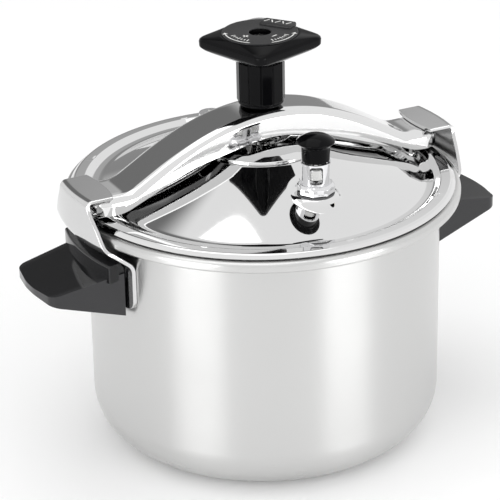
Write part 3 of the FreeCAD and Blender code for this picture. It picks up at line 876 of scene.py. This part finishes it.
TONGUE = 197.3
HALF_LENGTH = 131.5
HALF_WIDTH = 18.5
SHEET = 2.2
EDGE = 6.5
PLAN_CORNER = 14.0
CORNER_STEPS = 12
BUSH_HOLE = 9.05


def mirrored(half, middle):
    return half + middle + [(-p[0],) + tuple(p[1:]) for p in reversed(half)]


ARCH = list(reversed(rounded(mirrored([(140.0, TONGUE), (104.0, TONGUE, 20.0), (67.1, 218.6, 230.0)],
                                      [(0, 244.36, 140.0)]), math.radians(0.8))))
SKIRT = rounded(mirrored([(-140.0, 190.5), (-131.5, 190.5), (-126.0, 185.0, 8.0), (-110.0, 185.0, 30.0),
                          (-60, 206.5, 100.0)], [(0, 219.1, 90.0)]), math.radians(1.5))


def stirrup_plan(inset):
    """Stations along one side of the stirrup's plan, from tip to tip: x, y and the outward normal."""
    reach = HALF_LENGTH - PLAN_CORNER
    stations = []
    for k in range(CORNER_STEPS + 1):
        turn = math.pi / 2 * k / CORNER_STEPS
        stations.append((reach + PLAN_CORNER * math.cos(turn),
                         HALF_WIDTH - PLAN_CORNER + PLAN_CORNER * math.sin(turn),
                         math.cos(turn), math.sin(turn)))
    straight = 150
    stations += [(reach - 2 * reach * k / straight, HALF_WIDTH, 0.0, 1.0) for k in range(1, straight)]
    stations += [(-x, y, -nx, ny) for x, y, nx, ny in reversed(stations[:CORNER_STEPS + 1])]
    return [(x - nx * inset, y - ny * inset, nx, ny) for x, y, nx, ny in stations]


def round_over(radius, steps=8):
    """(inset, drop) of a rounded edge, from the flat top out to the wall."""
    turns = [math.pi / 2 * k / steps for k in range(steps + 1)]
    return [(radius * (1 - math.sin(t)), radius * (1 - math.cos(t))) for t in turns]


def stirrup():
    """Pressed arch of bent sheet with a turned-down skirt, open underneath."""

    def top(x):
        return height_on(ARCH, x)

    def inner_top(x):
        return top(x) - SHEET

    def foot(x):
        return height_on(SKIRT, x)

    verts, faces, outer = slab_skin(stirrup_plan(0.0), round_over(EDGE), top, foot)
    more, more_faces, inner = slab_skin(stirrup_plan(SHEET), round_over(EDGE - SHEET), inner_top, foot)
    start = len(verts)
    verts += more
    faces += [tuple(start + i for i in face) for face in more_faces]
    count = len(outer)
    for i in range(count):
        j = (i + 1) % count
        faces.append((outer[i], outer[j], start + inner[j], start + inner[i]))
    piece = make("stirrup_bar", verts, faces, "stirrup", "stirrup_steel", ["stirrup"])
    cut(piece, *lathe([(0, 215.0), (BUSH_HOLE, 215.0), (BUSH_HOLE, 245.0), (0, 245.0)], segments=64))
    bevel(piece, 0.4, 2, 60.0)


stirrup()

# the knob head, its stem and the valve cap take the painted-shade copy of bakelite
for dark_piece in ("knob_head_moulding", "knob_stem_moulding", "valve_cap_moulding"):
    bpy.data.objects[dark_piece].data.materials[0] = SHADED_KNOB_BAKELITE


# Stage, camera and lights -----------------------------------------------------------------

FLOOR_HALF = 6.0
FLOOR_DROP = 0.0003
PALE = (1.0, 1.0, 1.0, 1.0)
# two dark cards behind the pot: direction, cosine of the full and of the faded edge, brightness
DARK_CARDS = (((0.05, 0.83, 0.555), 0.972, 0.925, 0.20), ((0.40, 0.90, 0.10), 0.975, 0.93, 0.30))
STRIP_AIM = (0, 0, 0.12)
STRIP_WIDTH, STRIP_HEIGHT, STRIP_POWER = 0.95, 0.6, 8.5
# solved from the outline of the pot in the photo
FOCAL_LENGTH = 169.1
CAMERA_PLACE = (-0.6671, -1.3036, 0.7966)
CAMERA_ANGLES = (65.432, 0.996, -27.195)


def floor():
    mesh = bpy.data.meshes.new("floor")
    corners = [(x, y, -FLOOR_DROP) for x, y in ((-FLOOR_HALF, -FLOOR_HALF), (FLOOR_HALF, -FLOOR_HALF),
                                                (FLOOR_HALF, FLOOR_HALF), (-FLOOR_HALF, FLOOR_HALF))]
    mesh.from_pydata(corners, [], [(0, 1, 2, 3)])
    plane = bpy.data.objects.new("floor", mesh)
    bpy.context.scene.collection.objects.link(plane)
    mesh.materials.append(table_top("table_top"))


def soft_box(name, place, aim, width, height, power):
    """Rectangular lamp; place, aim and size in metres, power in watts."""
    data = bpy.data.lights.new(name, "AREA")
    data.shape = "RECTANGLE"
    data.size = width
    data.size_y = height
    data.energy = power
    lamp = bpy.data.objects.new(name, data)
    bpy.context.scene.collection.objects.link(lamp)
    lamp.location = place
    lamp.rotation_euler = (Vector(aim) - Vector(place)).to_track_quat("-Z", "Y").to_euler()


def surroundings():
    """White room with dark cards behind the pot, for the polished metal to reflect."""
    world = bpy.data.worlds.new("studio")
    bpy.context.scene.world = world
    world.use_nodes = True
    tree = world.node_tree
    direction = tree.nodes.new("ShaderNodeTexCoord").outputs["Generated"]
    colour = None
    for aim, inner, outer, tone in DARK_CARDS:
        dot = tree.nodes.new("ShaderNodeVectorMath")
        dot.operation = "DOT_PRODUCT"
        tree.links.new(direction, dot.inputs[0])
        dot.inputs[1].default_value = Vector(aim).normalized()
        ramp = tree.nodes.new("ShaderNodeMapRange")
        ramp.interpolation_type = "SMOOTHSTEP"
        tree.links.new(dot.outputs["Value"], ramp.inputs["Value"])
        ramp.inputs["From Min"].default_value = outer
        ramp.inputs["From Max"].default_value = inner
        mix = tree.nodes.new("ShaderNodeMix")
        mix.data_type = "RGBA"
        tree.links.new(ramp.outputs[0], mix.inputs[0])
        if colour is None:
            mix.inputs[6].default_value = PALE
        else:
            tree.links.new(colour, mix.inputs[6])
        mix.inputs[7].default_value = shade(tone)
        colour = mix.outputs[2]
    background = tree.nodes["Background"]
    tree.links.new(colour, background.inputs["Color"])
    background.inputs["Strength"].default_value = 1.0


def camera():
    data = bpy.data.cameras.new("camera")
    data.lens = FOCAL_LENGTH
    data.sensor_width = 36.0
    eye = bpy.data.objects.new("camera", data)
    bpy.context.scene.collection.objects.link(eye)
    eye.location = CAMERA_PLACE
    eye.rotation_euler = [math.radians(a) for a in CAMERA_ANGLES]
    bpy.context.scene.camera = eye


floor()
soft_box("left_strip", (-1.657, -0.703, 0.33), STRIP_AIM, STRIP_WIDTH, STRIP_HEIGHT, STRIP_POWER)
soft_box("right_strip", (0.703, -1.657, 0.33), STRIP_AIM, STRIP_WIDTH, STRIP_HEIGHT, STRIP_POWER)
soft_box("top_box", (-0.2, 0.2, 2.2), (0, 0, 0.1), 1.6, 1.6, 7.0)
surroundings()
camera()
bpy.context.scene.view_settings.view_transform = "Standard"
